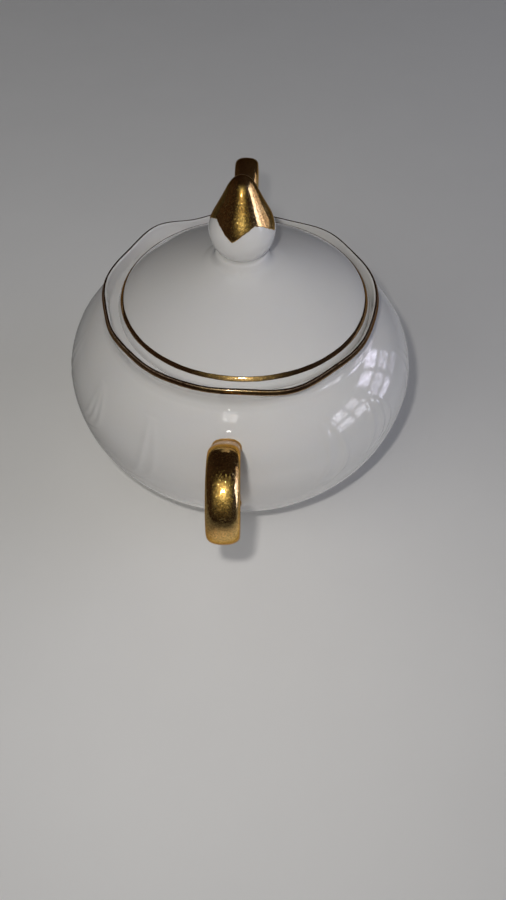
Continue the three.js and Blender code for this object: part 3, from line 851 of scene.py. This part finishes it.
def petal_cap(name, segments=360):
    """Gold cap over the knob's tip, its edge drawn down into pointed petals."""
    angles = ring_angles(segments)
    pitch = 360.0 / PETALS
    in_petal = (np.degrees(angles) + PETAL_TURN) % pitch
    from_notch = np.abs(in_petal - pitch / 2) / (pitch / 2)
    edge_z = PETAL_NOTCH_Z - PETAL_DROP * from_notch ** 1.45
    edge_z = edge_z + 0.06 * np.sin(17 * angles + 0.4) + 0.04 * np.sin(41 * angles)
    along = lengths(KNOB_OUTLINE)
    edge = np.interp(edge_z, KNOB_OUTLINE[:, 1], along)
    outward = offset_run(KNOB_OUTLINE, -1.0) - KNOB_OUTLINE

    def skin_row(share, height):
        place = edge + (along[-1] - edge) * share
        r, z, out_r, out_z = (np.interp(place, along, column)
                              for column in (*KNOB_OUTLINE.T, *outward.T))
        size = np.hypot(out_r, out_z)
        r, z = r + out_r / size * height, z + out_z / size * height
        return (ring_points(KNOB_CENTRE, r, z, angles),
                np.stack([np.degrees(angles), place, r], 1))

    def tip_row(height):
        return [[*KNOB_CENTRE, KNOB_OUTLINE[-1, 1] + height]], [[0, along[-1], 0]]

    # the outer skin from the edge to the tip, then the inner skin back to the edge
    shares = np.concatenate([[0, 0.006, 0.015], np.linspace(0.03, 0.985, 41)])
    rows = [skin_row(u, FILM_GAP + CAP_THICK * edge_height(u, 0.015)) for u in shares]
    rows += [tip_row(FILM_GAP + CAP_THICK), tip_row(FILM_GAP)]
    rows += [skin_row(u, FILM_GAP) for u in shares[::-1]]
    rings, brush = zip(*rows)
    return loft(name, rings, GOLD_KNOB, brush, closed=True)


cap = petal_cap("knob_gilding_petals")
register(cap, "knob_gilding", ride="lid")

# ------------------------------------------------------------------ floor
FLOOR_HALF = 2.5        # metres
FLOOR_DROP = 0.00015    # metres, keeps it clear of the foot


def floor_material():
    material, g = new_material("floor_pale")
    point = g.object_mm()
    colour = g.mix(g.noise(point, scale=0.02, detail=4.0, rough=0.6),
                   (0.795, 0.785, 0.765), (0.835, 0.825, 0.805))
    pale = g.add("ShaderNodeBsdfPrincipled", {"Base Color": colour, "Roughness": 0.75})
    # painted shade seen only in mirrors: the floor turns dark towards -Y and far away,
    # standing in for a dark room
    aside = g.remap(g.axes(point)["Y"], source=(-20.0, -75.0), target=(0.0, 0.62))
    far = g.remap(g.vector("LENGTH", point), source=(170.0, 420.0), target=(0.0, 0.80))
    in_mirror = g.add("ShaderNodeLightPath").outputs["Is Glossy Ray"]
    mirror_shade = g.add("ShaderNodeBsdfPrincipled",
                {"Base Color": (0.035, 0.030, 0.027), "Roughness": 0.75})
    g.finish(g.mix_shader(g.times(g.calc("MAXIMUM", aside, far), in_mirror),
                          pale.outputs[0], mirror_shade.outputs[0]))
    return material


def make_floor():
    mesh = bpy.data.meshes.new("floor")
    corners = [(x * FLOOR_HALF, y * FLOOR_HALF, 0) for x, y in
               ((-1, -1), (1, -1), (1, 1), (-1, 1))]
    mesh.from_pydata(corners, [], [(0, 1, 2, 3)])
    piece = bpy.data.objects.new("floor", mesh)
    piece.location.z = -FLOOR_DROP
    bpy.context.scene.collection.objects.link(piece)
    mesh.materials.append(floor_material())
    return piece


floor = make_floor()

# ------------------------------------------------------------------ world
# (position from -Y to +Y, colour): what mirrors see, a dim room
ROOM = [(0.0, (0.034, 0.022, 0.017)), (0.35, (0.015, 0.009, 0.008)),
        (0.62, (0.021, 0.015, 0.014)), (0.80, (0.022, 0.017, 0.017)),
        (1.0, (0.032, 0.027, 0.028))]
# the same for what lights the surfaces: even soft light, slightly cooler at +Y
SOFT_LIGHT = [(0.0, (0.088, 0.086, 0.082)), (1.0, (0.088, 0.092, 0.104))]
BACKDROP = (0.50, 0.50, 0.49)


def make_world():
    world = bpy.data.worlds.new("studio")
    bpy.context.scene.world = world
    world.use_nodes = True
    g = Graph(world.node_tree, "ShaderNodeOutputWorld")
    direction = g.add("ShaderNodeTexCoord").outputs["Generated"]
    across = g.plus(g.times(g.axes(direction)["Y"], 0.5), 0.5)

    def background(colour):
        return g.add("ShaderNodeBackground", {"Color": colour}).outputs[0]

    mirrored = background(g.ramp(across, *ROOM, ease=True))
    soft = background(g.ramp(across, *SOFT_LIGHT, ease=True))
    ray = g.add("ShaderNodeLightPath").outputs
    unseen = g.mix_shader(ray["Is Glossy Ray"], soft, mirrored)
    g.finish(g.mix_shader(ray["Is Camera Ray"], unseen, background(BACKDROP)))


make_world()

# ------------------------------------------------------------------ light tools, in metres
CAMERA_PLACE = np.array([0.176901, 0.008765, 0.209658])
CAMERA_FORWARD = np.array([-0.611187, -0.013108, -0.791378])
CAMERA_RIGHT = np.array([-0.034201, 0.999366, 0.009861])
CAMERA_UP = np.array([-0.790747, -0.033093, 0.611248])
BOWL_MIDDLE = (0, 0, 0.05)


def by_camera(right, up, forward=0.0):
    return (CAMERA_PLACE + CAMERA_RIGHT * right + CAMERA_UP * up
            + CAMERA_FORWARD * forward)


def polar(azimuth, elevation, distance):
    """A place round the bowl's middle; azimuth in degrees from +X towards +Y."""
    flat = distance * math.cos(rad(elevation))
    return (flat * math.cos(rad(azimuth)), flat * math.sin(rad(azimuth)),
            BOWL_MIDDLE[2] + distance * math.sin(rad(elevation)))


def side_and_up(z):
    """Level x axis and upward y axis that go with a z axis."""
    x = np.cross([0, 0, 1.0], z)
    x /= np.linalg.norm(x)
    return x, np.cross(z, x)


def matrix_of(x, y, z, place):
    rows = [[x[k], y[k], z[k], place[k]] for k in range(3)]
    return Matrix(rows + [[0, 0, 0, 1]])


def area(name, place, size, power, colour, target=BOWL_MIDDLE, shape="RECTANGLE",
         hide_from=None, only_on=()):
    """An area light. hide_from is "glossy" or "diffuse"; only_on limits it to some pieces."""
    data = bpy.data.lights.new(name, "AREA")
    data.shape = shape
    data.size, data.size_y = size
    data.energy = power
    data.color = colour
    light = bpy.data.objects.new(name, data)
    bpy.context.scene.collection.objects.link(light)
    towards = np.array(target, float) - np.array(place, float)
    z = -towards / np.linalg.norm(towards)
    light.matrix_world = matrix_of(*side_and_up(z), z, place)
    if hide_from == "glossy":
        light.visible_glossy = False
    if hide_from == "diffuse":
        light.visible_diffuse = False
    if only_on:
        lit = bpy.data.collections.new(light.name + "_lit")
        for piece in only_on:
            lit.objects.link(piece)
        light.light_linking.receiver_collection = lit
    return light


def light_graph(light):
    """The light's graph, its emission strength and the place on its face."""
    light.data.use_nodes = True
    g = Graph(light.data.node_tree)
    emission = next(node for node in g.tree.nodes if node.type == "EMISSION")
    on_face = g.add("ShaderNodeNewGeometry").outputs["Parametric"]
    return g, emission.inputs["Strength"], on_face


def curtain(light, seed):
    """Fades a light towards its edges and mottles it, like daylight through net."""
    g, strength, on_face = light_graph(light)
    sides = g.axes(on_face)
    fades = []
    for axis in ("X", "Y"):
        away = g.calc("ABSOLUTE", g.calc("SUBTRACT", sides[axis], 0.5))
        fades.append(g.remap(away, source=(0.5, 0.28), target=(0.0, 1.0), kind="SMOOTHSTEP"))
    noise = g.add("ShaderNodeTexNoise",
                  {"Vector": on_face, "W": seed, "Scale": 4.5, "Detail": 2.0},
                  noise_dimensions="4D").outputs["Fac"]
    mottle = g.remap(noise, source=(0.32, 0.68), target=(0.22, 2.1))
    g.put(strength, g.times(g.times(*fades), mottle))


def fade_from_middle(light, tightness):
    """Makes a light brightest at its middle, with a long fade."""
    g, strength, on_face = light_graph(light)
    away = g.vector("SUBTRACT", on_face, (0.5, 0.5, 0.0))
    away = g.vector("MULTIPLY", away, (1.0, 1.0, 0.0))
    distance = g.calc("SQRT", g.vector("DOT_PRODUCT", away, away))
    g.put(strength, g.calc("EXPONENT", g.times(distance, -tightness)))


def window(name, azimuth, elevation, width, height, power, colour, gains, pieces):
    """Soft panes seen by mirrors only. gains: a tuple a column, its panes from the bottom."""
    bar = 0.015
    centre = np.array(polar(azimuth, elevation, distance=1.3))
    z = centre / np.linalg.norm(centre)
    x, y = side_and_up(z)
    columns, rows = len(gains), len(gains[0])
    pane_size = ((width - bar * (columns - 1)) / columns, (height - bar * (rows - 1)) / rows)
    for i in range(columns):
        for j in range(rows):
            place = (centre + x * ((i - (columns - 1) / 2) * (pane_size[0] + bar))
                     + y * ((j - (rows - 1) / 2) * (pane_size[1] + bar)))
            pane = area(f"{name}_{i}{j}", place, pane_size,
                        power * gains[i][j] / (columns * rows), colour, target=place - z,
                        hide_from="diffuse", only_on=pieces)
            curtain(pane, seed=1.7 * i + 0.9 * j + azimuth)


# ------------------------------------------------------------------ lights near the camera
gold_pieces = (*handles, cap, lid_line, lip_gold)
KEY_GLINT_COLOUR = (1.0, 0.97, 0.92)

area("key_soft", by_camera(right=-0.016, up=0.019), size=(0.010, 0.010), power=0.176,
     colour=(1.0, 0.975, 0.94), shape="ELLIPSE", hide_from="glossy")
# the part of the key that mirrors see: small lamps, so that glaze shows points, not discs
for name, up, across, power, piece in (("key_glint_body", 0.004, 0.006, 0.0022, body),
                                       ("key_glint_lid", 0.006, 0.008, 0.030, lid)):
    area(name, by_camera(right=-0.026, up=up), size=(across, across), power=power,
         colour=KEY_GLINT_COLOUR, shape="ELLIPSE", hide_from="diffuse", only_on=(piece,))
wide_glint = area("key_glint_wide", by_camera(right=-0.022, up=0.070), size=(0.036, 0.050),
                  power=0.011, colour=KEY_GLINT_COLOUR, hide_from="diffuse",
                  only_on=(body,))
curtain(wide_glint, seed=3.3)
area("gold_glint", by_camera(right=-0.008, up=-0.012), size=(0.009, 0.009), power=0.045,
     colour=(1.0, 0.93, 0.80), shape="ELLIPSE", only_on=gold_pieces)
# behind it, a wide soft patch that fades away from its middle, for the gold
halo = area("gold_halo", by_camera(right=-0.008, up=-0.012, forward=-0.03),
            size=(0.36, 0.36), power=0.80, colour=(1.0, 0.98, 0.62), hide_from="diffuse",
            only_on=gold_pieces)
fade_from_middle(halo, tightness=10.0)

# ------------------------------------------------------------------ windows at +Y
window("window_back", azimuth=108, elevation=15, width=0.58, height=0.96, power=7.2,
       colour=(0.93, 0.88, 1.10), gains=[(0.45, 0.30, 0.75), (0.12, 0.35, 1.0)],
       pieces=(body, knob))
window("window_side", azimuth=75, elevation=20, width=0.42, height=0.58, power=2.1,
       colour=(0.95, 0.92, 1.04), gains=[(0.8, 0.8), (0.7, 0.6)], pieces=(body, knob))
# gold shows the windows as one bright band that fades away from the camera:
# (name, azimuth, width, power, colour)
BANDS = [
    ("window_band_near", 71, 0.30, 2.0, (1.0, 1.12, 1.80)),
    ("window_band_mid", 86, 0.40, 1.25, (1.0, 0.98, 1.40)),
    ("window_band_far", 107, 0.56, 0.80, (1.0, 0.95, 1.2)),
]
for name, azimuth, width, power, colour in BANDS:
    area(name, polar(azimuth, elevation=15, distance=1.3), size=(width, 0.95), power=power,
         colour=colour, hide_from="diffuse", only_on=(*handles, cap))
area("window_fill", polar(95, elevation=20, distance=1.3), size=(0.9, 0.8), power=3.4,
     colour=(0.83, 0.87, 1.06), target=(0, 0, 0.04), hide_from="glossy")

# ------------------------------------------------------------------ other soft lights
area("overhead_soft", (0.25, -0.35, 1.4), size=(1.2, 1.2), power=1.45,
     colour=(1.0, 0.985, 0.96), target=(0, 0, 0), hide_from="glossy")
# an even light for the floor, from the -Y side
area("floor_soft", (0.50, -0.75, 0.55), size=(0.9, 0.7), power=2.2,
     colour=(1.0, 0.995, 0.97), target=(0.12, -0.22, 0), hide_from="glossy",
     only_on=(floor,))
# a low light from -X, on the bowl, its handles and its lip
area("back_soft", polar(195, elevation=14, distance=1.2), size=(0.9, 0.5), power=1.6,
     colour=(1.0, 0.99, 0.97), target=(0, 0, 0.04), hide_from="glossy",
     only_on=(body, *handles, lip_gold))


# ------------------------------------------------------------------ camera and output
def make_camera():
    data = bpy.data.cameras.new("camera")
    data.sensor_width, data.sensor_fit = 36.0, "AUTO"
    data.lens = 27.04
    data.clip_start, data.clip_end = 0.01, 20
    camera = bpy.data.objects.new("camera", data)
    bpy.context.scene.collection.objects.link(camera)
    camera.matrix_world = matrix_of(CAMERA_RIGHT, CAMERA_UP, -CAMERA_FORWARD, CAMERA_PLACE)
    bpy.context.scene.camera = camera


make_camera()
view = bpy.context.scene.view_settings
view.view_transform = "Standard"
view.look = "None"
view.exposure = 0.0
